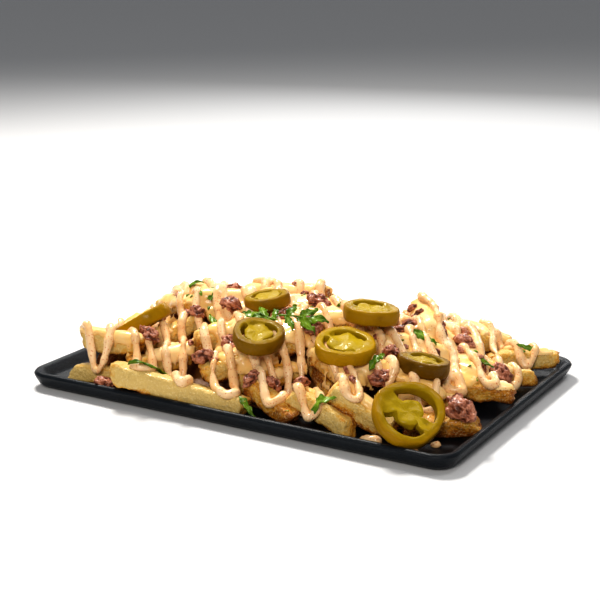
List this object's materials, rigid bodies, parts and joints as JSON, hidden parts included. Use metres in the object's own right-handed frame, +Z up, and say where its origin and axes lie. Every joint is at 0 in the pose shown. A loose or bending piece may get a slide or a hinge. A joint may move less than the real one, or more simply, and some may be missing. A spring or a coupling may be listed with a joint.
{
  "type": "loaded fries",
  "caption": "Heap of sauced fries on a shallow dark rectangular tray, topped with browned meat pieces, pickled jalapeno slices and herb leaves.",
  "frame": {"origin": "centre of the tray's flat underside, at the height it stands on", "axes": "+X along the tray's long side, +Y along its short side towards the back, +Z up; -Y is the side nearest the viewer"},
  "size_m": [0.2398, 0.1648, 0.053],
  "materials": {
    "tray": "matte dark blue-grey stoneware glaze",
    "fries": null,
    "jalapeno": null,
    "meat": null,
    "herb": null
  },
  "bodies": {
    "root": {"tray": "tray", "fries": "fries", "jalapeno_1": "jalapeno", "jalapeno_2": "jalapeno", "jalapeno_3": "jalapeno", "jalapeno_4": "jalapeno", "jalapeno_5": "jalapeno", "jalapeno_6": "jalapeno", "jalapeno_7": "jalapeno", "meat_1": "meat", "meat_2": "meat", "meat_3": "meat", "meat_4": "meat", "meat_5": "meat", "meat_6": "meat", "meat_7": "meat", "meat_8": "meat", "meat_9": "meat", "meat_10": "meat", "meat_11": "meat", "meat_12": "meat", "meat_13": "meat", "meat_14": "meat", "meat_15": "meat", "meat_16": "meat", "meat_17": "meat", "meat_18": "meat", "meat_19": "meat", "meat_20": "meat", "meat_21": "meat", "meat_22": "meat", "herb_1": "herb", "herb_2": "herb", "herb_3": "herb", "herb_4": "herb", "herb_5": "herb", "herb_6": "herb", "herb_7": "herb", "herb_8": "herb", "herb_9": "herb", "herb_10": "herb", "herb_11": "herb", "herb_12": "herb", "herb_13": "herb"}
  },
  "joints": []
}
